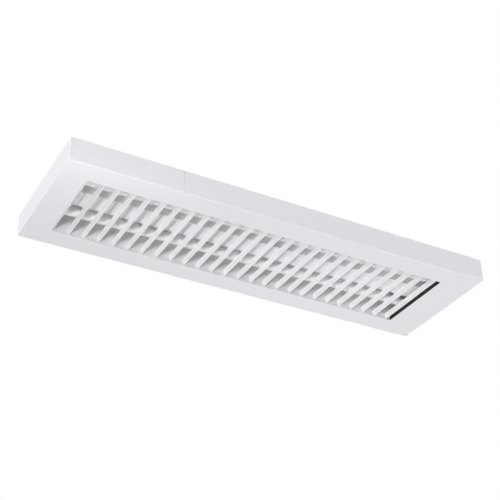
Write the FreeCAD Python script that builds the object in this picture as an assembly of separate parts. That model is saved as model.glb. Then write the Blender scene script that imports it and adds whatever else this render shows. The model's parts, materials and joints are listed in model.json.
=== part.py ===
import FreeCAD, Part
import math
import os

# Surface mounted fluorescent fixture, in millimetres.
# Origin: centre of the face that lies on the ceiling. +X along the lamps, +Z up, -Y the near side.

Vector = FreeCAD.Vector

# Lamps: straight tubes with two pins at each end
lamp_length = 1199.4
tube_radius = 13.0
glass_wall = 0.8
lamp_spacing = 150.0
lamp_drop = 29.0
lamp_cap_length = 13.0
lamp_cap_wall = 0.45
lamp_cap_disc = 1.5
lamp_cap_step = 0.1
pin_radius = 1.18
pin_spacing = 12.7
pin_length = 7.1
pin_root = 1.0

# Lampholders and their turning rotors
end_play = 0.5
holder_thick = 12.0
holder_half_width = 13.5
holder_rise = 15.0
holder_edge = 2.0
rotor_radius = 9.5
rotor_thick = 8.4
rotor_recess = 0.4
rotor_run = 0.08
rotor_floor = 0.3
pin_slot = 2.7
entry_slot = 3.4

# Holder brackets
bracket_wall = 1.0
bracket_bend = 1.0
bracket_flange = 15.0
bracket_margin = 5.0
bracket_foot = 4.0
end_room = 25.3

# Housing shell, cut into two end caps and two side profiles
opening_width = 253.6
side_rim = 65.2
left_rim = 71.8
least_right_rim = 100.0
shell_wall = 0.8
edge_radius = 1.3
flange_width = 22.0
end_flange_width = 8.0
lip_height = 14.0
lip_edge = 0.6
cap_length = 306.0
seam_foot_gap = 0.2
left_seam_gap = 1.0
right_seam_gap = 0.4
splice_wall = 1.0
splice_length = 60.0
splice_leg = 40.0
splice_top_gap = 10.0

# Back plate
plate_wall = 0.8
plate_inset = 6.0
plate_corner = 4.0
fixing_spacing_x = 800.0
fixing_spacing_y = 210.0
fixing_slot_width = 5.5
fixing_slot_length = 14.0

# Louvre
blade_pitch = 42.175
bar_width = 6.5
blade_sheet = 0.5
blade_bend = 0.6
blade_height = 15.0
blade_top_width = 11.4
blade_fold = 1.8
lamp_gap = 11.0
louvre_recess = 1.0
louvre_end_gap = 1.2
louvre_side_gap = 1.0
rail_wall = 0.8

# Louvre hinge
hinge_slot = 14.125
hinge_reach = 5.0
hinge_height = 9.0
hinge_pin_radius = 2.0
hinge_pin_head = 0.5
hinge_pin_head_radius = 3.2
hinge_run = 0.05
hinge_pass = 0.5
hinge_ear_radius = 4.5
hinge_bracket_gap = 0.1
hinge_bracket_thick = 5.0
hinge_bracket_half = 6.0
hinge_bracket_round = 5.0
hinge_foot_reach = 16.0
hinge_foot_wall = 1.5

# Rubber seal that keeps the lamps' light from the slot at the hinge
seal_wall = 3.0
seal_height = 16.0
seal_setback = 0.4
seal_end_gap = 0.1

# Louvre catch clips
clip_wall = 0.4
clip_gap = 0.25
clip_bend = 0.2
clip_bulge = 0.45
clip_width = 18.0
clip_y = 90.0
clip_foot_gap = 3.0

# Gear cover and side reflectors
gear_depth = 37.5
gear_bottom_half = 31.0
gear_top_half = 40.0
gear_foot = 12.0
gear_wall = 0.7
gear_bend = 2.0
gear_end_gap = 65.0
reflector_wall = 0.6
reflector_bend = 1.0
reflector_flange = 14.0
reflector_gap = 0.1

# Ballast, centred on the back plate
ballast_length = 360.0
ballast_width = 30.0
ballast_gap = 4.0
ballast_base = 0.8
ballast_wall = 0.6
ballast_ear = 12.0
ballast_terminal = 14.0
board_wall = 1.6
board_gap = 0.2
board_height = 5.0

# Mains terminal block, cable grommet and earth stud, left of the ballast
block_gap = 58.0
block_length = 24.0
block_half_width = 11.0
block_height = 14.0
pole_pitch = 7.0
clamp_radius = 2.0
clamp_depth = 5.0
stud_gap = 17.0
stud_radius = 2.0
stud_length = 12.0
nut_flats = 7.0
nut_thick = 3.2
lug_radius = 4.5
lug_thick = 2.4
grommet_gap = 48.0
grommet_bore = 6.0
grommet_neck = 9.0
grommet_flange = 13.0
grommet_lip = 2.0

# Internal leads
lead_radius = 1.2
lead_drop = 9.0
lamp_lead_y = 13.0
lead_bend = 8.0
lead_fall_bend = 4.0

# Screws
screw_radius = 2.0
screw_head_radius = 3.6
screw_head = 2.0
screw_fit = 0.05
small_screw_radius = 1.5
small_screw_head_radius = 2.7
small_screw_head = 2.0
small_screw_depth = 6.0
drive_reach = 1.7
drive_width = 0.8
drive_depth = 1.1
screw_edge = 14.0
screw_end = 40.0
screw_seam = 55.0
cover_screw_end = 30.0
reflector_screw_end = 76.0

# Sizes that follow
length = lamp_length + 2 * end_room
width = opening_width + 2 * side_rim
height = lamp_drop + tube_radius + lamp_gap + blade_height + louvre_recess
half_length = length / 2
half_width = width / 2
half_open = opening_width / 2
lamp_y = lamp_spacing / 2
lamp_half = lamp_length / 2
rim_floor = -height + shell_wall
lip_top = -height + lip_height
seam_x = half_length - cap_length
open_left = -half_length + left_rim
room_for_cells = length - left_rim - least_right_rim - louvre_end_gap - bar_width - hinge_slot
cell_count = int(room_for_cells // blade_pitch)
louvre_left = open_left + louvre_end_gap
louvre_right = louvre_left + cell_count * blade_pitch + bar_width
open_right = louvre_right + hinge_slot
louvre_bottom = -height + louvre_recess
louvre_top = louvre_bottom + blade_height
rail_outer = half_open - louvre_side_gap
rail_inner = rail_outer - rail_wall
hinge_x = louvre_right + hinge_reach
hinge_z = -height + hinge_height
holder_front = lamp_half + end_play
holder_back = holder_front + holder_thick
holder_top = -lamp_drop + holder_rise
gear_half_length = lamp_half - gear_end_gap
ballast_half = ballast_length / 2
block_right = -ballast_half - block_gap
block_left = block_right - block_length
stud_x = block_left - stud_gap
grommet_x = block_left - grommet_gap
lead_z = -lead_drop
lamp_lead_x = holder_front + holder_thick / 2


def on_yz(u, v):
    return Vector(0, u, v)


def on_xz(u, v):
    return Vector(u, 0, v)


def on_xy(u, v):
    return Vector(u, v, 0)


def box(x_range, y_range, z_range):
    size = [high - low for low, high in (x_range, y_range, z_range)]
    return Part.makeBox(*size, Vector(x_range[0], y_range[0], z_range[0]))


def rod(start, end, radius):
    return Part.makeCylinder(radius, (end - start).Length, start, end - start)


def upright(x, y, low, high, radius):
    return rod(Vector(x, y, low), Vector(x, y, high), radius)


def round_corner(before, here, after, radius):
    # First point, middle and last point of the arc that rounds one corner
    if radius == 0:
        return here, None, here
    back = (before - here).normalize()
    ahead = (after - here).normalize()
    half_angle = back.getAngle(ahead) / 2
    reach = radius / math.tan(half_angle)
    inward = (back + ahead).normalize()
    middle = here + inward * (radius / math.sin(half_angle) - radius)
    return here + back * reach, middle, here + ahead * reach


def outline(corners, place):
    # Flat face through corners given as (u, v, radius)
    points = [place(u, v) for u, v, radius in corners]
    count = len(points)
    arcs = []
    for i in range(count):
        arcs.append(round_corner(points[i - 1], points[i], points[(i + 1) % count], corners[i][2]))
    edges = []
    for i in range(count):
        first, middle, last = arcs[i]
        following = arcs[(i + 1) % count][0]
        if middle:
            edges.append(Part.Arc(first, middle, last).toShape())
        if last.distanceToPoint(following) > 1e-6:
            edges.append(Part.LineSegment(last, following).toShape())
    return Part.Face(Part.Wire(edges))


def prism(corners, place, low, high):
    # The outline carried along the axis that it is square to
    along = place(1, 0).cross(place(0, 1))
    if along.x + along.y + along.z < 0:
        along = along * -1
    face = outline(corners, place)
    face.translate(along * low)
    return face.extrude(along * (high - low))


def strip_corners(points, wall, bend):
    # Corners of a sheet of one thickness, folded along a line of points at its middle
    flat = [Vector(u, v, 0) for u, v in points]
    runs = [(b - a).normalize() for a, b in zip(flat, flat[1:])]
    normals = [Vector(-run.y, run.x, 0) for run in runs]
    sides = {}
    for side in (1, -1):
        shift = side * wall / 2
        corners = [(flat[0] + normals[0] * shift, 0)]
        for i in range(1, len(flat) - 1):
            mitre = (normals[i - 1] + normals[i]) * (1 / (1 + normals[i - 1].dot(normals[i])))
            turn = runs[i - 1].cross(runs[i]).z
            radius = bend if turn * side > 0 else bend + wall
            corners.append((flat[i] + mitre * shift, radius))
        corners.append((flat[-1] + normals[-1] * shift, 0))
        sides[side] = corners
    return [(point.x, point.y, radius) for point, radius in sides[1] + sides[-1][::-1]]


def folded_sheet(points, wall, bend, place, low, high):
    return prism(strip_corners(points, wall, bend), place, low, high)


def near_and_far(shape):
    # A piece of the far side and its mirror image on the near side
    return shape.mirror(Vector(0, 0, 0), Vector(0, 1, 0)), shape


def left_and_right(shape):
    return shape.mirror(Vector(0, 0, 0), Vector(1, 0, 0)), shape


def screw(reach, radius, head_radius, head):
    # Stands on its seat at the origin; the head below the seat has a cross recess
    shank = upright(0, 0, 0, reach, radius)
    cap = upright(0, 0, -head, 0, head_radius)
    cap = cap.makeFillet(head / 2, [cap.Edges[2]])
    half = drive_width / 2
    for x, y in ((drive_reach, half), (half, drive_reach)):
        cap = cap.cut(box((-x, x), (-y, y), (-head, drive_depth - head)))
    return cap.fuse(shank).removeSplitter()


def plate_screws(places, seat):
    # Driven upwards into the back plate
    screws = []
    for x, y in places:
        piece = screw(-seat, screw_radius, screw_head_radius, screw_head)
        piece.translate(Vector(x, y, seat))
        screws.append(piece)
    return Part.makeCompound(screws)


def screw_holes(places, low, high):
    return [upright(x, y, low, high, screw_radius + screw_fit) for x, y in places]


def both_sides(xs, y):
    return [(x, side * y) for x in xs for side in (-1, 1)]


# Screw places, shared by the screws and the holes they pass
shell_screw_xs = [sign * x for sign in (-1, 1)
                  for x in (half_length - screw_end, seam_x + screw_seam, seam_x - screw_seam)]
shell_screw_places = both_sides(shell_screw_xs, half_width - screw_edge)
cover_screw_xs = [-gear_half_length + cover_screw_end, 0, gear_half_length - cover_screw_end]
cover_screw_places = both_sides(cover_screw_xs, gear_top_half + gear_foot / 2)
reflector_y = half_open + shell_wall + reflector_gap + reflector_wall / 2
hinge_bracket_inner = reflector_y + reflector_wall / 2 + hinge_bracket_gap
hinge_bracket_outer = hinge_bracket_inner + hinge_bracket_thick
reflector_screw_xs = [open_left + reflector_screw_end, 0, open_right - reflector_screw_end]
reflector_screw_places = both_sides(reflector_screw_xs, reflector_y + reflector_flange * 0.6)
bracket_screw_x = holder_back + bracket_wall - bracket_flange / 2
bracket_screw_places = both_sides([-bracket_screw_x, bracket_screw_x], lamp_y / 2)
ballast_screw_x = ballast_half + ballast_ear / 2
ballast_screw_places = [(-ballast_screw_x, 0), (ballast_screw_x, 0)]


def fixing_slot(x, y):
    reach = fixing_slot_length / 2
    half = fixing_slot_width / 2
    rounded = half * 0.999
    corners = [(x - reach, y - half, rounded), (x + reach, y - half, rounded),
               (x + reach, y + half, rounded), (x - reach, y + half, rounded)]
    return prism(corners, on_xy, -plate_wall, 0)


def back_plate():
    x = half_length - plate_inset
    y = half_width - plate_inset
    corners = [(-x, -y, plate_corner), (x, -y, plate_corner), (x, y, plate_corner), (-x, y, plate_corner)]
    plate = prism(corners, on_xy, -plate_wall, 0)
    cuts = []
    for sign_x, sign_y in ((-1, -1), (-1, 1), (1, -1), (1, 1)):
        cuts.append(fixing_slot(sign_x * fixing_spacing_x / 2, sign_y * fixing_spacing_y / 2))
    for places in (shell_screw_places, cover_screw_places, reflector_screw_places,
                   bracket_screw_places, ballast_screw_places):
        cuts += screw_holes(places, -plate_wall, 0)
    cuts.append(upright(grommet_x, 0, -plate_wall, 0, grommet_neck))
    cuts.append(upright(stud_x, 0, -plate_wall, 0, stud_radius + screw_fit))
    return plate.cut(cuts)


def hollow_block():
    outside = box((-half_length, half_length), (-half_width, half_width), (-height, -plate_wall))
    outside = outside.makeFillet(edge_radius, outside.Edges)
    inside = box((-half_length + shell_wall, half_length - shell_wall),
                 (-half_width + shell_wall, half_width - shell_wall),
                 (rim_floor, -plate_wall - shell_wall))
    return outside.cut(inside.makeFillet(edge_radius - shell_wall, inside.Edges))


def hinge_passes():
    # Clearance holes where the hinge pins go through lip and reflector
    reach = Vector(hinge_x, hinge_bracket_inner, hinge_z)
    start = Vector(hinge_x, rail_outer, hinge_z)
    return near_and_far(rod(start, reach, hinge_pin_radius + hinge_pass))


def housing_shell():
    # Walls, top flanges, underside rim and the lip on three sides of the opening
    opening = box((open_left, open_right), (-half_open, half_open), (-height, lip_top))
    collar = box((open_left - shell_wall, open_right),
                 (-half_open - shell_wall, half_open + shell_wall), (-height, lip_top))
    roof = box((-half_length + end_flange_width, half_length - end_flange_width),
               (-half_width + flange_width, half_width - flange_width),
               (-plate_wall - shell_wall, -plate_wall))
    shell = hollow_block().fuse(collar).cut(opening).cut(roof).removeSplitter()
    foot = [edge for edge in shell.Edges if on_opening_foot(edge)]
    shell = shell.makeFillet(lip_edge, foot)
    holes = screw_holes(shell_screw_places, -plate_wall - shell_wall, -plate_wall)
    return shell.cut(holes + list(hinge_passes()))


def on_opening_foot(edge):
    limit = edge.BoundBox
    inside_x = limit.XMin > open_left - shell_wall / 2 and limit.XMax < open_right + shell_wall / 2
    inside_y = max(abs(limit.YMin), abs(limit.YMax)) < half_open + shell_wall / 2
    return inside_x and inside_y and limit.ZMax < -height + shell_wall / 2


def seam_side(seam, gap, away):
    # Room on one side of a seam that is open at the top and nearly shut at the underside
    top = seam + away * gap / 2
    foot = seam + away * seam_foot_gap / 2
    end = away * length
    corners = [(top, 0, 0), (foot, -height, 0), (end, -height, 0), (end, 0, 0)]
    return prism(corners, on_xz, -half_width, half_width)


def shell_pieces():
    shell = housing_shell()
    left = shell.common(seam_side(-seam_x, left_seam_gap, -1))
    right = shell.common(seam_side(seam_x, right_seam_gap, 1))
    between = shell.common(seam_side(-seam_x, left_seam_gap, 1)).common(seam_side(seam_x, right_seam_gap, -1))
    near = between.common(box((-length, length), (-width, 0), (-height, 0)))
    far = between.common(box((-length, length), (0, width), (-height, 0)))
    return left, right, near, far


def splice_plates():
    wall_y = half_width - shell_wall - splice_wall / 2
    floor_z = rim_floor + splice_wall / 2
    top_z = -plate_wall - shell_wall - splice_top_gap
    points = [(wall_y - splice_leg, floor_z), (wall_y, floor_z), (wall_y, top_z)]
    bend = edge_radius - splice_wall / 2
    plates = []
    for middle in (-seam_x, seam_x):
        low = middle - splice_length / 2
        plate = folded_sheet(points, splice_wall, bend, on_yz, low, low + splice_length)
        plates += near_and_far(plate)
    return Part.makeCompound(plates)


def side_reflectors():
    # A sheet on the rim behind the lip, as long as the lamps, with a flange under the back plate
    flange_z = -plate_wall - reflector_wall / 2
    points = [(reflector_y, rim_floor), (reflector_y, flange_z), (reflector_y + reflector_flange, flange_z)]
    sheet = folded_sheet(points, reflector_wall, reflector_bend, on_yz, -lamp_half, lamp_half)
    holes = screw_holes(reflector_screw_places, -plate_wall - reflector_wall, -plate_wall)
    return [piece.cut(holes + list(hinge_passes())) for piece in near_and_far(sheet)]


def gear_cover():
    foot_z = -plate_wall - gear_wall / 2
    low_z = -gear_depth + gear_wall / 2
    half_line = [(gear_bottom_half, low_z), (gear_top_half, foot_z), (gear_top_half + gear_foot, foot_z)]
    points = [(-y, z) for y, z in half_line[::-1]] + half_line
    cover = folded_sheet(points, gear_wall, gear_bend, on_yz, -gear_half_length, gear_half_length)
    return cover.cut(screw_holes(cover_screw_places, -plate_wall - gear_wall, -plate_wall))


ballast_floor = -gear_depth + gear_wall + ballast_gap
ballast_roof = -plate_wall - ballast_base
case_half = ballast_half - ballast_terminal


def ballast_base_plate():
    reach = ballast_half + ballast_ear
    half = ballast_width / 2
    plate = box((-reach, reach), (-half, half), (ballast_roof, -plate_wall))
    return plate.cut(screw_holes(ballast_screw_places, ballast_roof, -plate_wall))


def ballast_case():
    half = ballast_width / 2
    outside = box((-case_half, case_half), (-half, half), (ballast_floor, ballast_roof))
    inner_half = half - ballast_wall
    inside = box((-case_half + ballast_wall, case_half - ballast_wall), (-inner_half, inner_half),
                 (ballast_floor + ballast_wall, ballast_roof))
    corners = [edge for edge in outside.Edges if abs(edge.CenterOfMass.z - ballast_floor) < ballast_wall]
    return outside.makeFillet(ballast_wall / 2, corners).cut(inside)


def ballast_board():
    # Circuit board with its coil, two capacitors and a row of switches on it
    half = ballast_width / 2 - ballast_wall - board_gap
    reach = case_half - ballast_wall - board_gap
    low = ballast_floor + ballast_wall + board_gap
    top = ballast_roof - board_height
    board = box((-reach, reach), (-half, half), (top - board_wall, top))
    room = top - board_wall - low
    coil = box((-reach * 0.2, reach * 0.05), (-half * 0.8, half * 0.8), (top - board_wall - room * 0.9, top))
    parts = [coil]
    for x in (-reach * 0.7, -reach * 0.5, reach * 0.4):
        parts.append(upright(x, 0, top - board_wall - room * 0.8, top, half * 0.6))
    for step in range(4):
        x = reach * (0.55 + 0.1 * step)
        low_end = top - board_wall - room * 0.7
        parts.append(box((x, x + reach * 0.03), (-half * 0.5, half * 0.5), (low_end, top)))
    return board.fuse(parts).removeSplitter()


def ballast_terminals():
    half = ballast_width / 2 - ballast_wall
    block = box((case_half, ballast_half), (-half, half), (ballast_floor + ballast_wall, ballast_roof))
    return Part.makeCompound(left_and_right(block))


def pole_places():
    return [side * pole_pitch for side in (-1, 0, 1)]


def terminal_block():
    floor = -plate_wall - block_height
    body = box((block_left, block_right), (-block_half_width, block_half_width), (floor, -plate_wall))
    wells = []
    for y in pole_places():
        for x in (block_left + block_length / 4, block_right - block_length / 4):
            wells.append(upright(x, y, floor, floor + clamp_depth, clamp_radius + screw_fit))
    return body.cut(wells)


def terminal_screws():
    floor = -plate_wall - block_height
    screws = []
    for y in pole_places():
        for x in (block_left + block_length / 4, block_right - block_length / 4):
            body = upright(x, y, floor + clamp_depth / 2, floor + clamp_depth, clamp_radius)
            drive = box((x - clamp_radius, x + clamp_radius), (y - clamp_radius / 5, y + clamp_radius / 5),
                        (floor + clamp_depth / 2, floor + clamp_depth * 0.7))
            screws.append(body.cut(drive))
    return Part.makeCompound(screws)


def cable_grommet():
    neck = upright(grommet_x, 0, -plate_wall, 0, grommet_neck - screw_fit)
    flange = upright(grommet_x, 0, -plate_wall - grommet_lip, -plate_wall, grommet_flange)
    bore = upright(grommet_x, 0, -plate_wall - grommet_lip, 0, grommet_bore)
    rim = flange.makeFillet(grommet_lip / 2, [flange.Edges[2]])
    return rim.fuse(neck).cut(bore).removeSplitter()


def earth_stud():
    return upright(stud_x, 0, -plate_wall - stud_length, 0, stud_radius)


lug_top = lead_z + lug_thick / 2


def earth_nuts():
    # One nut holds the stud to the plate, one clamps the lug
    across = nut_flats / math.sqrt(3)
    ring = [(stud_x + across * math.cos(math.radians(60 * k)), across * math.sin(math.radians(60 * k)), 0)
            for k in range(6)]
    hole = upright(stud_x, 0, -plate_wall - stud_length, 0, stud_radius + screw_fit)
    nuts = [prism(ring, on_xy, -plate_wall - nut_thick, -plate_wall).cut(hole)]
    lug_floor = lug_top - lug_thick
    nut_floor = max(lug_floor - nut_thick, -plate_wall - stud_length)
    nuts.append(prism(ring, on_xy, nut_floor, lug_floor).cut(hole))
    nuts.append(upright(stud_x, 0, lug_top, -plate_wall - nut_thick, lug_radius).cut(hole))
    return Part.makeCompound(nuts)


def earth_lead():
    lead = rod(Vector(stud_x, 0, lead_z), Vector(block_left, 0, lead_z), lead_radius)
    lug = upright(stud_x, 0, lug_top - lug_thick, lug_top, lug_radius)
    hole = upright(stud_x, 0, lug_top - lug_thick, lug_top, stud_radius + screw_fit)
    return lead.fuse(lug).cut(hole).removeSplitter()


def mains_leads():
    leads = []
    for y in (-pole_pitch, 0):
        leads.append(rod(Vector(block_right, y, lead_z), Vector(-ballast_half, y, lead_z), lead_radius))
    return Part.makeCompound(leads)


def lamp_leads():
    # From the ballast along the plate, across to the lampholder and down into its top
    x0 = lamp_lead_x - lead_bend
    y1 = lamp_lead_y + lead_bend
    y2 = lamp_y - lead_fall_bend
    z3 = lead_z - lead_fall_bend
    slant = math.sqrt(0.5)
    points = [Vector(ballast_half, lamp_lead_y, lead_z), Vector(x0, lamp_lead_y, lead_z),
              Vector(x0 + lead_bend * slant, y1 - lead_bend * slant, lead_z), Vector(lamp_lead_x, y1, lead_z),
              Vector(lamp_lead_x, y2, lead_z),
              Vector(lamp_lead_x, y2 + lead_fall_bend * slant, z3 + lead_fall_bend * slant),
              Vector(lamp_lead_x, lamp_y, z3), Vector(lamp_lead_x, lamp_y, holder_top)]
    route = [Part.LineSegment(points[0], points[1]), Part.Arc(*points[1:4]),
             Part.LineSegment(points[3], points[4]), Part.Arc(*points[4:7]),
             Part.LineSegment(points[6], points[7])]
    path = Part.Wire([piece.toShape() for piece in route])
    ring = Part.Wire(Part.makeCircle(lead_radius, points[0], Vector(1, 0, 0)))
    right_far = path.makePipeShell([ring], True, True)
    leads = []
    for piece in near_and_far(right_far):
        leads += left_and_right(piece)
    return Part.makeCompound(leads)


bracket_half = lamp_y + holder_half_width + bracket_margin
holder_low = -lamp_drop - holder_half_width
holder_screw_z = holder_top - (holder_rise - rotor_radius - rotor_run) / 2


def on_lamp_axis(x, y=0.0):
    return Vector(x, lamp_y + y, -lamp_drop)


def holder_brackets():
    web_x = holder_back + bracket_wall / 2
    flange_z = -plate_wall - bracket_wall / 2
    points = [(web_x - bracket_flange, flange_z), (web_x, flange_z), (web_x, holder_low - bracket_foot)]
    sheet = folded_sheet(points, bracket_wall, bracket_bend, on_xz, -bracket_half, bracket_half)
    holes = screw_holes(bracket_screw_places, -plate_wall - bracket_wall, -plate_wall)
    for side in (-1, 1):
        start = Vector(holder_back, side * lamp_y, holder_screw_z)
        end = start + Vector(bracket_wall, 0, 0)
        holes.append(rod(start, end, small_screw_radius + screw_fit))
    return left_and_right(sheet.cut(holes))


def lampholder():
    # Far right lampholder: bored for the rotor, slotted below so that the pins can enter
    w = holder_half_width
    round_foot = w * 0.95
    low = holder_low
    corners = [(lamp_y - w, holder_top, holder_edge), (lamp_y - w, low, round_foot),
               (lamp_y + w, low, round_foot), (lamp_y + w, holder_top, holder_edge)]
    body = prism(corners, on_yz, holder_front, holder_back)
    depth = holder_front + rotor_recess + rotor_thick + rotor_floor
    bore = rod(on_lamp_axis(holder_front), on_lamp_axis(depth), rotor_radius + rotor_run)
    entry = box((holder_front, depth), (lamp_y - entry_slot / 2, lamp_y + entry_slot / 2), (low, -lamp_drop))
    start = Vector(holder_back, lamp_y, holder_screw_z)
    screw_hole = rod(start - Vector(small_screw_depth, 0, 0), start, small_screw_radius + screw_fit)
    return body.cut([bore, entry, screw_hole])


def holder_screws():
    # Driven through the bracket's web into the holder's back
    reach = small_screw_depth + bracket_wall
    piece = screw(reach, small_screw_radius, small_screw_head_radius, small_screw_head)
    piece.rotate(Vector(0, 0, 0), Vector(0, 1, 0), -90)
    piece.translate(Vector(holder_back + bracket_wall, lamp_y, holder_screw_z))
    screws = []
    for side_piece in near_and_far(piece):
        screws += left_and_right(side_piece)
    return Part.makeCompound(screws)


lamp_cap_radius = tube_radius - lamp_cap_step
neck_radius = lamp_cap_radius - lamp_cap_wall
neck_start = lamp_half - lamp_cap_length
neck_end = lamp_half - lamp_cap_disc - pin_root


def lamp_tube():
    # Glass of the far lamp: wide barrel, narrower necks inside the caps
    barrel = rod(on_lamp_axis(-neck_start), on_lamp_axis(neck_start), tube_radius)
    necks = rod(on_lamp_axis(-neck_end), on_lamp_axis(neck_end), neck_radius)
    neck_inside = neck_end - glass_wall
    barrel_inside = neck_start - glass_wall
    hollow = rod(on_lamp_axis(-neck_inside), on_lamp_axis(neck_inside), neck_radius - glass_wall)
    barrel_hollow = rod(on_lamp_axis(-barrel_inside), on_lamp_axis(barrel_inside), tube_radius - glass_wall)
    return barrel.fuse(necks).cut([hollow, barrel_hollow]).removeSplitter()


def pin_places():
    return [side * pin_spacing / 2 for side in (-1, 1)]


def lamp_caps():
    cup = rod(on_lamp_axis(neck_start), on_lamp_axis(lamp_half), lamp_cap_radius)
    cup = cup.makeFillet(lamp_cap_wall, [cup.Edges[0]])
    inside = rod(on_lamp_axis(neck_start), on_lamp_axis(lamp_half - lamp_cap_disc), neck_radius)
    hole_radius = pin_radius + screw_fit
    holes = [rod(on_lamp_axis(neck_end, y), on_lamp_axis(lamp_half, y), hole_radius) for y in pin_places()]
    return Part.makeCompound(left_and_right(cup.cut([inside] + holes)))


def lamp_pins():
    pins = []
    for y in pin_places():
        pin = rod(on_lamp_axis(neck_end, y), on_lamp_axis(lamp_half + pin_length, y), pin_radius)
        tip = max(pin.Edges, key=lambda edge: edge.CenterOfMass.x)
        pins += left_and_right(pin.makeFillet(pin_radius / 2, [tip]))
    return Part.makeCompound(pins)


def lamp_rotors():
    front = holder_front + rotor_recess
    wheel = rod(on_lamp_axis(front), on_lamp_axis(front + rotor_thick), rotor_radius)
    slot_end = lamp_half + pin_length + rotor_floor
    slot = box((front, slot_end), (lamp_y - rotor_radius, lamp_y + rotor_radius),
               (-lamp_drop - pin_slot / 2, -lamp_drop + pin_slot / 2))
    return Part.makeCompound(left_and_right(wheel.cut(slot)))


def louvre_sheet(points):
    # A folded sheet between the rails, cut level on top
    sheet = folded_sheet(points, blade_sheet, blade_bend, on_xz, -rail_inner, rail_inner)
    room = box((-half_length, half_length), (-rail_inner, rail_inner), (louvre_bottom, louvre_top))
    return sheet.common(room)


def end_bar(outer_x, side):
    # Flat towards the end of the opening, slanted like half a blade towards the cells
    outer = outer_x - side * blade_sheet / 2
    inner = outer_x - side * (bar_width - blade_sheet / 2)
    floor = louvre_bottom + blade_sheet / 2
    top = louvre_top + blade_sheet
    return louvre_sheet([(outer, top), (outer, floor), (outer - side * blade_fold, floor), (inner, top)])


def louvre_blades():
    # Sheets folded to a narrow V, each with its fold below
    middle = louvre_left + bar_width - blade_fold / 2 - blade_bend
    floor = louvre_bottom + blade_sheet / 2
    top = louvre_top + blade_sheet
    half_top = blade_top_width / 2
    blade = louvre_sheet([(middle - half_top, top), (middle - blade_fold / 2, floor),
                          (middle + blade_fold / 2, floor), (middle + half_top, top)])
    blades = []
    for k in range(1, cell_count):
        copy = blade.copy()
        copy.translate(Vector(k * blade_pitch, 0, 0))
        blades.append(copy)
    return Part.makeCompound(blades)


def louvre_rail():
    # Far rail: a strip beside the blade ends, with an ear around the hinge pin
    rail = box((louvre_left, louvre_right), (rail_inner, rail_outer), (louvre_bottom, louvre_top))
    ear_round = hinge_ear_radius * 0.95
    low, high = hinge_z - hinge_ear_radius, hinge_z + hinge_ear_radius
    tip = hinge_x + hinge_ear_radius
    root = louvre_right - bar_width
    corners = [(root, low, 0), (tip, low, ear_round), (tip, high, ear_round), (root, high, 0)]
    ear = prism(corners, on_xz, rail_inner, rail_outer)
    hole = rod(Vector(hinge_x, rail_inner, hinge_z), Vector(hinge_x, rail_outer, hinge_z),
               hinge_pin_radius + screw_fit)
    return rail.fuse(ear).cut(hole).removeSplitter()


def louvre_hinge_pins():
    # Headed inside the rail, through lip and reflector into the bracket
    seat = Vector(hinge_x, rail_inner, hinge_z)
    shank = rod(seat, Vector(hinge_x, hinge_bracket_outer, hinge_z), hinge_pin_radius)
    head = rod(seat - Vector(0, hinge_pin_head, 0), seat, hinge_pin_head_radius)
    return Part.makeCompound(near_and_far(shank.fuse(head).removeSplitter()))


def hinge_brackets():
    # Lug that stands on the rim behind the reflector, with a foot spot-welded to the rim
    left, right = hinge_x - hinge_bracket_half, hinge_x + hinge_bracket_half
    top = hinge_z + hinge_bracket_half
    corners = [(left, rim_floor, 0), (right, rim_floor, 0),
               (right, top, hinge_bracket_round), (left, top, hinge_bracket_round)]
    lug = prism(corners, on_xz, hinge_bracket_inner, hinge_bracket_outer)
    foot = box((left, right), (hinge_bracket_inner, hinge_bracket_inner + hinge_foot_reach),
               (rim_floor, rim_floor + hinge_foot_wall))
    bore = rod(Vector(hinge_x, hinge_bracket_inner, hinge_z), Vector(hinge_x, hinge_bracket_outer, hinge_z),
               hinge_pin_radius + hinge_run)
    return near_and_far(lug.fuse(foot).cut(bore).removeSplitter())


def slot_seal():
    # A strip glued to the rim, behind the edge of the opening and between the side reflectors
    face = open_right + seal_setback
    reach = reflector_y - reflector_wall / 2 - seal_end_gap
    return box((face, face + seal_wall), (-reach, reach), (rim_floor, rim_floor + seal_height))


def catch_clips():
    # Spring clips over the lip at the left end; the bulge of the inner leg bears on the louvre
    outer_x = open_left - shell_wall - clip_gap - clip_wall / 2
    inner_x = open_left + clip_gap + clip_wall / 2
    roof_z = lip_top + clip_wall / 2
    low_z = rim_floor + clip_foot_gap
    third = (roof_z - low_z) / 3
    points = [(outer_x, low_z), (outer_x, roof_z), (inner_x, roof_z), (inner_x, low_z + 2 * third),
              (inner_x + clip_bulge, low_z + third), (inner_x, low_z)]
    low = clip_y - clip_width / 2
    clip = folded_sheet(points, clip_wall, clip_bend, on_xz, low, low + clip_width)
    return Part.makeCompound(near_and_far(clip))


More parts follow.
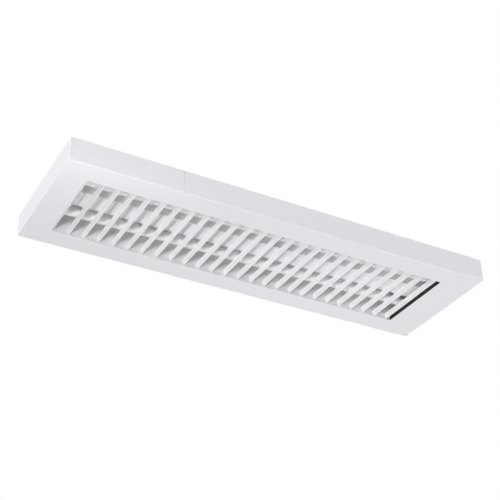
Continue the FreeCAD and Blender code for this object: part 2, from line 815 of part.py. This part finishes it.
def all_nodes():
    left_cap, right_cap, near_profile, far_profile = shell_pieces()
    near_reflector, far_reflector = side_reflectors()
    left_bracket, right_bracket = holder_brackets()
    near_rail, far_rail = near_and_far(louvre_rail())
    near_hinge, far_hinge = hinge_brackets()
    nodes = {
        "back_plate": back_plate(),
        "left_end_cap": left_cap,
        "right_end_cap": right_cap,
        "near_side_profile": near_profile,
        "far_side_profile": far_profile,
        "splice_plates": splice_plates(),
        "shell_screws": plate_screws(shell_screw_places, -plate_wall - shell_wall),
        "near_side_reflector": near_reflector,
        "far_side_reflector": far_reflector,
        "reflector_screws": plate_screws(reflector_screw_places, -plate_wall - reflector_wall),
        "gear_cover": gear_cover(),
        "gear_cover_screws": plate_screws(cover_screw_places, -plate_wall - gear_wall),
        "ballast_base": ballast_base_plate(),
        "ballast_case": ballast_case(),
        "ballast_board": ballast_board(),
        "ballast_terminals": ballast_terminals(),
        "ballast_screws": plate_screws(ballast_screw_places, ballast_roof),
        "terminal_block": terminal_block(),
        "terminal_screws": terminal_screws(),
        "cable_grommet": cable_grommet(),
        "earth_stud": earth_stud(),
        "earth_nuts": earth_nuts(),
        "earth_lead": earth_lead(),
        "mains_leads": mains_leads(),
        "lamp_leads": lamp_leads(),
        "left_holder_bracket": left_bracket,
        "right_holder_bracket": right_bracket,
        "bracket_screws": plate_screws(bracket_screw_places, -plate_wall - bracket_wall),
        "holder_screws": holder_screws(),
        "near_hinge_bracket": near_hinge,
        "far_hinge_bracket": far_hinge,
        "slot_seal": slot_seal(),
        "catch_clips": catch_clips(),
        "louvre_near_rail": near_rail,
        "louvre_far_rail": far_rail,
        "louvre_left_bar": end_bar(louvre_left, -1),
        "louvre_right_bar": end_bar(louvre_right, 1),
        "louvre_blades": louvre_blades(),
        "louvre_hinge_pins": louvre_hinge_pins(),
    }
    for side, holder in zip(("near", "far"), near_and_far(lampholder())):
        for end, piece in zip(("left", "right"), left_and_right(holder)):
            nodes[f"{side}_{end}_lampholder"] = piece
    lamp_makers = {"tube": lamp_tube, "caps": lamp_caps, "pins": lamp_pins, "rotors": lamp_rotors}
    for name, make in lamp_makers.items():
        for side, piece in zip(("near", "far"), near_and_far(make())):
            nodes[f"{side}_lamp_{name}"] = piece
    return nodes


os.makedirs("parts", exist_ok=True)
for name, shape in all_nodes().items():
    shape.exportStep(f"parts/{name}.step")
    print(name, len(shape.Solids), round(shape.Volume), shape.isValid())
print("length, width, height", round(length, 2), round(width, 2), round(height, 2))
print("opening", round(open_left, 2), round(open_right, 2), "hinge", round(hinge_x, 3), round(hinge_z, 3))
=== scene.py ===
# %% [markdown]
# # A ceiling light with a hinged louvre
# The object is a flat white light that is screwed to a ceiling: a sheet steel housing, two fluorescent
# tubes, and a louvre of cross blades that swings down when a tube is changed. Its shapes come from a
# finished CAD model, so this lesson is about the rest: a camera, a studio, and one finish for every
# material that the maker used. The model is loaded first and stays where it is.

# %% Load the model
import json
import math

import bpy
from mathutils import Matrix, Vector


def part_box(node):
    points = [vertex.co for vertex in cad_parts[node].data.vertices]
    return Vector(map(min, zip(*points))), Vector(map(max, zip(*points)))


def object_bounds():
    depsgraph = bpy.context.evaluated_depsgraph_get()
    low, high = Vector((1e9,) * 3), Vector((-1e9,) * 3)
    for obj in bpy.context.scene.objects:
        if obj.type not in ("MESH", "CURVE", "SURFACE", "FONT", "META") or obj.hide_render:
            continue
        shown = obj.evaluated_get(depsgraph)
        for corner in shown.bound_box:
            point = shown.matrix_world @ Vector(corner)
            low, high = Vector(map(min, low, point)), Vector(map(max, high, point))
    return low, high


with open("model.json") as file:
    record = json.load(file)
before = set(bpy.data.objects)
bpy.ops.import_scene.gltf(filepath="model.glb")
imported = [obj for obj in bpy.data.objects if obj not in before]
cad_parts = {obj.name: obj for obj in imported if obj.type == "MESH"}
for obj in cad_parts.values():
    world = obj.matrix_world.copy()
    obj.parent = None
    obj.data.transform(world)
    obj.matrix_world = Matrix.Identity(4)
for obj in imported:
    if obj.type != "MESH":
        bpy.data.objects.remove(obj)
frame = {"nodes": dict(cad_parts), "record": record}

cad_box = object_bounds()
nodes = frame["nodes"]
print("pieces:", len(nodes), "box:", [tuple(round(v, 4) for v in corner) for corner in cad_box])

# %% [markdown]
# ## The camera
# The light hangs overhead, so the viewer stands below its near left corner and looks up. A camera could
# be aimed with a tracking constraint, but three directions and a place say the same without one: which
# way is right in the picture, which way is up, and which way the lens looks. The horizon is tipped by
# less than a degree, as it is in a picture taken by hand.

# %% Place the camera
look = Vector((0.408632, 0.742604, 0.530621))
right = Vector((0.879289, -0.476167, -0.010745))
up = right.cross(look).normalized()
camera_place = Vector((-1.305572, -2.323883, -1.708410))

camera = bpy.data.objects.new("camera", bpy.data.cameras.new("camera"))
bpy.context.scene.collection.objects.link(camera)
camera.data.lens = 81.976
camera.data.sensor_width = 36.0
camera.data.clip_end = 100.0
turn = Matrix((right, up, -look)).transposed()
camera.matrix_world = Matrix.Translation(camera_place) @ turn.to_4x4()
bpy.context.scene.camera = camera
bpy.context.scene.view_settings.view_transform = "Standard"
print("camera looks up by", round(math.degrees(math.asin(look.z)), 1), "degrees")

# %% [markdown]
# ## Values that flow through a shader
# A finish is a small calculation: a noise, scaled and added to a base roughness, for example. Nodes can
# be wired one by one, but then the sum is hard to read. Here one class wraps the socket that a value
# comes out of and gives it plus and times, so that the sum is written as a sum. Every other node comes
# from its one method, which sets the node up first and then fills its sockets.

# %% A class for shader sums
class Flow:
    """A value in a node tree: the socket that it comes out of."""

    def __init__(self, tree, socket=None):
        self.tree = tree
        self.socket = socket

    def feed(self, socket, value):
        if isinstance(value, Flow):
            self.tree.links.new(value.socket, socket)
        else:
            socket.default_value = value

    def node(self, kind, settings=None, sockets=None, output=0):
        made = self.tree.nodes.new(kind)
        for name, value in (settings or {}).items():
            setattr(made, name, value)
        for name, value in (sockets or {}).items():
            self.feed(made.inputs[name], value)
        return Flow(self.tree, made.outputs[output])

    def sum_of(self, operation, first, second):
        return self.node("ShaderNodeMath", {"operation": operation}, {0: first, 1: second})

    def __add__(self, other):
        return self.sum_of("ADD", self, other)

    def __mul__(self, other):
        return self.sum_of("MULTIPLY", self, other)

    __radd__ = __add__
    __rmul__ = __mul__


print("shader sums: plus and times")

# %% [markdown]
# ## The studio
# The light is shown against white. A white backdrop could be lit until it is white, but that light would
# also flood the object. Instead the world and the floor show white only to the camera, to reflections
# and through glass, and give the object a low, even light. A small share of the floor stays matt paint, which
# keeps shadows, and the white glow makes up for what that share lacks. The floor lies far below, as it does
# in a high hall, and no view from under the light is cut off by it.

# %% World and floor
room_light = 0.15
daylight = (0.967, 0.960, 1.0)
floor_drop = 14.0
floor_reach = 40.0
floor_shade = 0.9
floor_matt_share = 0.03
floor_glow = 1.025


def seen_directly(flow):
    rays = [flow.node("ShaderNodeLightPath", output=name)
            for name in ("Is Camera Ray", "Is Glossy Ray", "Is Transmission Ray")]
    return rays[0] + rays[1] + rays[2]


world = bpy.data.worlds.new("studio")
world.use_nodes = True
world_flow = Flow(world.node_tree)
soft = world_flow.node("ShaderNodeBackground", None, {"Color": (*daylight, 1), "Strength": room_light})
white = world_flow.node("ShaderNodeBackground", None, {"Color": (1, 1, 1, 1), "Strength": 1.0})
shown = world_flow.node("ShaderNodeMixShader", None, {0: seen_directly(world_flow), 1: soft, 2: white})
world_flow.feed(world.node_tree.nodes["World Output"].inputs["Surface"], shown)
bpy.context.scene.world = world

floor_mesh = bpy.data.meshes.new("floor")
corners = [(floor_reach * x, floor_reach * y, -floor_drop) for x, y in ((-1, -1), (1, -1), (1, 1), (-1, 1))]
floor_mesh.from_pydata(corners, [], [(0, 1, 2, 3)])
floor = bpy.data.objects.new("floor", floor_mesh)
bpy.context.scene.collection.objects.link(floor)
pale = bpy.data.materials.new("pale_floor")
pale.use_nodes = True
pale_flow = Flow(pale.node_tree)
matt = pale_flow.node("ShaderNodeBsdfDiffuse", None, {"Color": (floor_shade, floor_shade, floor_shade, 1)})
glow = pale_flow.node("ShaderNodeEmission", None, {"Color": (1, 1, 1, 1), "Strength": floor_glow})
glow_share = seen_directly(pale_flow) * (1 - floor_matt_share)
both = pale_flow.node("ShaderNodeMixShader", None, {0: glow_share, 1: matt, 2: glow})
pale_flow.feed(pale.node_tree.nodes["Material Output"].inputs["Surface"], both)
floor_mesh.materials.append(pale)
print("floor", floor_drop, "m below the ceiling")

# %% [markdown]
# ## The lamps
# Two far panels shine up into the louvre, one from the left and one from the right. Where the blades keep
# both out, a dark band stays in every cell. Weaker panels come straight from below and slantwise, and a low
# one in front reaches the far reflector past the rim. The sides have panels a little above the rim, so that
# these don't shine into the cells, two small ones lift the near left corner, and one hangs over the back. Sun
# lamps would be simpler, but a panel has a size, which softens the edges of its shadows. Its power is worked
# out from the light that should arrive at its target. Panels that shine downwards are kept out of
# reflections, because the zinc of the back would show them as one burnt out patch.

# %% Light panels
middle = (cad_box[0] + cad_box[1]) / 2
near_corner = cad_box[0]
beside_corner = near_corner + Vector((0.22, 0.0, 0.0))

# For each panel: the point it is aimed at, the way its light travels, its distance and size in metres,
# and how much light arrives.
panels = {
    "key": (middle, (1.10, 0.0, 1.0), 14.0, 0.8, 1.22),
    "cross": (middle, (-0.56, -0.10, 1.0), 14.0, 0.8, 0.64),
    "below": (middle, (0.0, 0.0, 1.0), 12.0, 0.7, 0.32),
    "slant": (middle, (1.05, 0.95, 1.0), 14.0, 1.0, 0.35),
    "low_near": (middle, (0.33, 1.0, 0.26), 10.0, 0.7, 0.95),
    "near_side_left": (middle, (0.60, 1.0, -0.14), 5.0, 1.0, 0.36),
    "near_side_right": (middle, (-0.50, 1.0, -0.14), 5.0, 1.0, 0.92),
    "left_end": (middle, (1.0, 0.10, -0.12), 5.0, 1.0, 1.10),
    "corner": (near_corner, (0.0, 0.50, 1.0), 0.22, 0.10, 0.95),
    "beside_corner": (beside_corner, (0.0, 0.50, 1.0), 0.22, 0.10, 0.44),
    "far_side": (middle, (-0.10, -1.0, -0.15), 5.0, 1.2, 2.0),
    "right_end": (middle, (-1.0, -0.10, -0.15), 5.0, 1.2, 2.0),
    "back": (middle, (0.15, 0.20, -1.0), 5.0, 2.0, 1.0),
}


def hang(light, target, travel, distance):
    direction = Vector(travel).normalized()
    lamp = bpy.data.objects.new(light.name, light)
    lamp.location = target - direction * distance
    lamp.rotation_mode = "QUATERNION"
    lamp.rotation_quaternion = direction.to_track_quat("-Z", "Y")
    lamp.visible_camera = False
    lamp.visible_glossy = direction.z > 0
    bpy.context.scene.collection.objects.link(lamp)
    print("lamp", light.name, round(light.energy), "W")


for name, (target, travel, distance, size, arriving) in panels.items():
    panel = bpy.data.lights.new(name, "AREA")
    panel.shape = "DISK"
    panel.size = size
    panel.color = daylight
    panel.energy = arriving * math.pi * distance ** 2
    hang(panel, target, travel, distance)

# %% [markdown]
# ## A spotlight for the hinge end
# The cells beside the hinge still lie in shade. A panel close to them would flood the louvre when it hangs
# open, so a spotlight stands far off instead, and its narrow cone reaches that end alone. The cone fades
# towards its edge, which leaves no line across the cells. A spotlight's power counts as if it shone all
# round, so it is worked out over a whole sphere.

# %% Spotlight
hinge_end = Vector((0.4, 0.0, cad_box[0].z))
spot_travel = (0.45, 0.0, 1.0)
spot_distance = 12.0
spot_reach = 0.8
spot_radius = 0.3
spot_arriving = 0.44
spot = bpy.data.lights.new("hinge_end", "SPOT")
spot.color = daylight
spot.spot_size = 2 * math.atan(spot_reach / spot_distance)
spot.spot_blend = 1.0
spot.shadow_soft_size = spot_radius
spot.energy = spot_arriving * 4 * math.pi * spot_distance ** 2
hang(spot, hinge_end, spot_travel, spot_distance)

# %% [markdown]
# ## How a finish is put together
# Every finish starts from the piece's own coordinates in metres, so that a grain has its real size and
# moves with the piece. A few words are used again and again: a noise of a given grain size, a shift
# between two colours, and a bump of a given height. Each finish is kept under the name of its material
# slot, and at the end every piece gets the one that its slot names.

# %% Words for finishes
finishes = {}


def new_finish(slot):
    material = bpy.data.materials.new(slot)
    material.use_nodes = True
    finishes[slot] = material
    return Flow(material.node_tree).node("ShaderNodeTexCoord", output="Object")


def stretched(point, factors):
    return point.node("ShaderNodeVectorMath", {"operation": "MULTIPLY"}, {0: point, 1: factors})


def grain(point, size, detail=2.0):
    return point.node("ShaderNodeTexNoise", None, {"Vector": point, "Scale": 1 / size, "Detail": detail})


def between(share, first, second):
    colours = {0: share, 6: (*first, 1), 7: (*second, 1)}
    return share.node("ShaderNodeMix", {"data_type": "RGBA"}, colours, output=2)


def raised(height, distance, strength=1.0):
    sockets = {"Height": height, "Distance": distance, "Strength": strength}
    return height.node("ShaderNodeBump", None, sockets)


def apply(slot, sockets):
    tree = finishes[slot].node_tree
    for name, value in sockets.items():
        Flow(tree).feed(tree.nodes["Principled BSDF"].inputs[name], value)
    print("finish", slot, "with", len(tree.nodes), "nodes")


# %% [markdown]
# ## White enamel
# The housing is sheet steel, sprayed white and baked. Baked enamel is even in colour but not dead flat: it
# flows into a fine orange peel of about a millimetre and a half, and its gloss drifts a little over a long
# panel. A noise for the peel and a slow one for the drift give both.

# %% White enamel
enamel_point = new_finish("white_enamel")
peel = grain(enamel_point, size=0.0016)
drift = grain(enamel_point, size=0.25, detail=3.0)
apply("white_enamel", {
    "Base Color": between(drift, (0.748, 0.744, 0.746), (0.772, 0.768, 0.770)),
    "Roughness": 0.36 + 0.10 * drift + 0.05 * peel,
    "Normal": raised(peel, distance=0.00002, strength=0.5),
})

# %% [markdown]
# ## Reflector enamel
# The gear cover and the side reflectors throw the lamps' light out. Their enamel is duller than the
# housing's,
# and whiter: the extra white is painted light, which lifts these parts where they lie in shade inside the
# light.
# The same peel lies on it, and a little lamp dust has settled in broad soft patches.

# %% Reflector enamel
reflector_point = new_finish("reflector_enamel")
dull_peel = grain(reflector_point, size=0.0016)
lamp_dust = grain(reflector_point, size=0.06, detail=3.0)
apply("reflector_enamel", {
    # These whites, above the housing's, are painted light on parts in shade; the dust patches between them
    # are real.
    "Base Color": between(lamp_dust, (0.870, 0.866, 0.862), (0.895, 0.892, 0.890)),
    "Roughness": 0.50 + 0.14 * lamp_dust + 0.05 * dull_peel,
    "Normal": raised(dull_peel, distance=0.00002, strength=0.4),
})

# %% [markdown]
# ## Louvre enamel
# The blades and rails are thinner sheet with a thinner coat, so the peel is finer and the gloss a little
# softer. Fine dust settles on such blades, which shows as a slight patchiness in the tone.

# %% Louvre enamel
louvre_point = new_finish("louvre_enamel")
louvre_peel = grain(louvre_point, size=0.0011)
dust = grain(louvre_point, size=0.035, detail=4.0)
apply("louvre_enamel", {
    "Base Color": between(dust, (0.815, 0.811, 0.812), (0.845, 0.842, 0.843)),
    "Roughness": 0.42 + 0.12 * dust + 0.04 * louvre_peel,
    "Normal": raised(louvre_peel, distance=0.000015, strength=0.5),
})

# %% [markdown]
# ## Zinc plated steel
# The back plate, the screws and the brackets are plated with zinc. On a hot dipped sheet the zinc freezes
# in flat crystals a centimetre or so across, each a little brighter or duller than the next. A Voronoi
# texture gives one random tone per crystal, and a fine noise stands for the rolled grain of the sheet.

# %% Zinc plated steel
crystal_size = 0.011
crystal_bend = 0.004
zinc_point = new_finish("zinc_steel")
wander = grain(zinc_point, size=0.012)
bent = zinc_point.node("ShaderNodeVectorMath", {"operation": "MULTIPLY_ADD"},
                       {0: wander, 1: (crystal_bend, crystal_bend, crystal_bend), 2: zinc_point})
crystal = bent.node("ShaderNodeTexVoronoi", {"feature": "SMOOTH_F1"},
                    {"Vector": bent, "Scale": 1 / crystal_size, "Smoothness": 0.2}, output="Color")
tone = crystal.node("ShaderNodeSeparateColor", None, {"Color": crystal})
roll = grain(stretched(zinc_point, (0.05, 1.0, 1.0)), size=0.0006)
apply("zinc_steel", {
    "Base Color": between(tone, (0.60, 0.61, 0.62), (0.74, 0.75, 0.755)),
    "Metallic": 0.9,
    "Roughness": 0.30 + 0.16 * tone + 0.06 * roll,
    "Normal": raised(roll + tone, distance=0.00001, strength=0.4),
})

# %% [markdown]
# ## Spring steel
# The catch clips are bent from bright strip. It was ground lengthwise, so a noise that is stretched along
# the strip gives fine lines in gloss and height.

# %% Spring steel
spring_point = new_finish("spring_steel")
lines = grain(stretched(spring_point, (1.0, 1.0, 0.04)), size=0.0004)
apply("spring_steel", {
    "Base Color": between(lines, (0.54, 0.54, 0.55), (0.66, 0.66, 0.67)),
    "Metallic": 1.0,
    "Roughness": 0.22 + 0.18 * lines,
    "Normal": raised(lines, distance=0.000008, strength=0.5),
})

# %% [markdown]
# ## White moulded plastic
# Lampholders, rotors and terminal blocks are moulded in a heat proof white plastic. The mould is finely
# spark eroded, which leaves a very small grain, and near the lamp ends such plastic yellows a little.

# %% White moulded plastic
holder_point = new_finish("holder_plastic")
spark = grain(holder_point, size=0.0005)
ageing = grain(holder_point, size=0.02)
apply("holder_plastic", {
    "Base Color": between(ageing, (0.84, 0.83, 0.78), (0.87, 0.87, 0.85)),
    "Roughness": 0.34 + 0.12 * spark,
    "Normal": raised(spark, distance=0.00001, strength=0.6),
})

# %% [markdown]
# ## Lamp glass
# A fluorescent tube is clear glass with a white powder baked on its inside. Seen from outside it is a matt
# white under a clear gloss, which is just what a coat over a rough base is. The powder is a little uneven,
# and near both ends it turns grey where the lamp starts, so the tone follows the distance from the middle.

# %% Lamp glass
glass_point = new_finish("lamp_glass")
powder = grain(stretched(glass_point, (0.3, 1.0, 1.0)), size=0.006, detail=3.0)
along = glass_point.node("ShaderNodeSeparateXYZ", None, {"Vector": glass_point}, output="X")
from_middle = along.node("ShaderNodeMath", {"operation": "ABSOLUTE"}, {0: along})
tube_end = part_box("near_lamp_tube")[1].x
grey_starts = tube_end - 0.05
grey_full = tube_end - 0.008
greyed = from_middle.node("ShaderNodeMapRange", {"interpolation_type": "SMOOTHSTEP"},
                          {"Value": from_middle, "From Min": grey_starts, "From Max": grey_full})
clean = between(powder, (0.855, 0.865, 0.86), (0.885, 0.890, 0.885))
apply("lamp_glass", {
    "Base Color": greyed.node("ShaderNodeMix", {"data_type": "RGBA"},
                              {0: greyed * 0.6, 6: clean, 7: (0.42, 0.41, 0.40, 1)}, output=2),
    "Roughness": 0.55 + 0.15 * powder,
    "Coat Weight": 1.0,
    "Coat Roughness": 0.30,
})

# %% [markdown]
# ## Lamp caps
# The caps are drawn from aluminium and turned bright, so the fine lines run round the tube. Distance along
# the tube is stretched a lot and the other two directions hardly at all: rings come out.

# %% Lamp caps
cap_point = new_finish("lamp_cap")
rings = grain(stretched(cap_point, (1.0, 0.03, 0.03)), size=0.0004)
smudge = grain(cap_point, size=0.008)
apply("lamp_cap", {
    "Base Color": between(rings, (0.74, 0.74, 0.74), (0.84, 0.84, 0.84)),
    "Metallic": 1.0,
    "Roughness": 0.24 + 0.12 * rings + 0.14 * smudge,
    "Normal": raised(rings, distance=0.000006, strength=0.5),
})

# %% [markdown]
# ## Brass contacts
# Lamp pins and terminal screws are turned brass. Brass in the air dulls in spots: browner and rougher
# there, bright elsewhere.

# %% Brass contacts
brass_point = new_finish("contact_brass")
dull = grain(brass_point, size=0.0025, detail=3.0)
apply("contact_brass", {
    "Base Color": between(dull, (0.80, 0.68, 0.38), (0.66, 0.51, 0.26)),
    "Metallic": 1.0,
    "Roughness": 0.18 + 0.24 * dull,
})

# %% [markdown]
# ## Ballast case
# The ballast is folded from sheet that was coated before folding. Such coil coating has a dry, slightly
# pebbled surface, which a finer noise and a higher roughness give.

# %% Ballast case
ballast_point = new_finish("ballast_steel")
pebble = grain(ballast_point, size=0.0009)
apply("ballast_steel", {
    "Base Color": between(pebble, (0.77, 0.77, 0.76), (0.82, 0.82, 0.81)),
    "Roughness": 0.48 + 0.16 * pebble,
    "Normal": raised(pebble, distance=0.00002, strength=0.6),
})

# %% [markdown]
# ## Circuit board
# The board is green lacquer over copper. Copper tracks show through as a paler green, and straight tracks
# come from a brick texture, whose joints make a net of lines at right angles.

# %% Circuit board
track_scale = 90.0
board_point = new_finish("board_green")
tracks = board_point.node("ShaderNodeTexBrick", {"offset": 0.35, "squash": 0.7}, {
    "Vector": board_point, "Scale": track_scale, "Mortar Size": 0.05, "Mortar Smooth": 0.3,
    "Color1": (0.07, 0.24, 0.11, 1), "Color2": (0.08, 0.28, 0.12, 1), "Mortar": (0.16, 0.38, 0.18, 1),
}, output="Color")
lacquer = grain(board_point, size=0.004)
apply("board_green", {
    "Base Color": tracks,
    "Roughness": 0.30 + 0.20 * lacquer,
    "Normal": raised(lacquer, distance=0.00002, strength=0.4),
})

# %% [markdown]
# ## Black rubber, and painted shade in the hinge slot
# The ring in the cable entry is black rubber: matt, with a faint dusty bloom on it. The seal behind the
# slot at the hinge gets the same near black as painted shade: it stands for the shade that fills that slot.

# %% Black rubber and painted shade
rubber_point = new_finish("black_rubber")
bloom = grain(rubber_point, size=0.003, detail=4.0)
apply("black_rubber", {
    # On the seal behind the hinge slot this near black is painted shade.
    "Base Color": between(bloom, (0.010, 0.010, 0.011), (0.024, 0.024, 0.024)),
    "Roughness": 0.66 + 0.22 * bloom,
    "Normal": raised(bloom, distance=0.00003, strength=0.5),
})

# %% [markdown]
# ## Wire insulation
# The leads are copper wire in soft plastic: white to the lamps, blue from the mains and green to the earth
# stud. One recipe serves all three, with the gloss a little uneven where the wire was handled.

# %% Wire insulation
wires = {
    "lead_white": ((0.76, 0.76, 0.73), (0.82, 0.82, 0.80)),
    "lead_blue": ((0.08, 0.18, 0.48), (0.12, 0.25, 0.58)),
    "lead_green": ((0.21, 0.44, 0.10), (0.28, 0.54, 0.14)),
}
for slot, (darker, lighter) in wires.items():
    handled = grain(new_finish(slot), size=0.005, detail=3.0)
    apply(slot, {
        "Base Color": between(handled, darker, lighter),
        "Roughness": 0.34 + 0.20 * handled,
        "Normal": raised(handled, distance=0.00003, strength=0.3),
    })

# %% [markdown]
# ## Give every piece its finish
# The model's record says which material slot each piece belongs to. Replacing the plain material in the
# piece's own slots keeps the mesh untouched.

# %% Finishes on pieces
for piece in frame["record"]["subparts"]:
    for place in nodes[piece["node"]].material_slots:
        place.material = finishes[piece["material_slot"]]
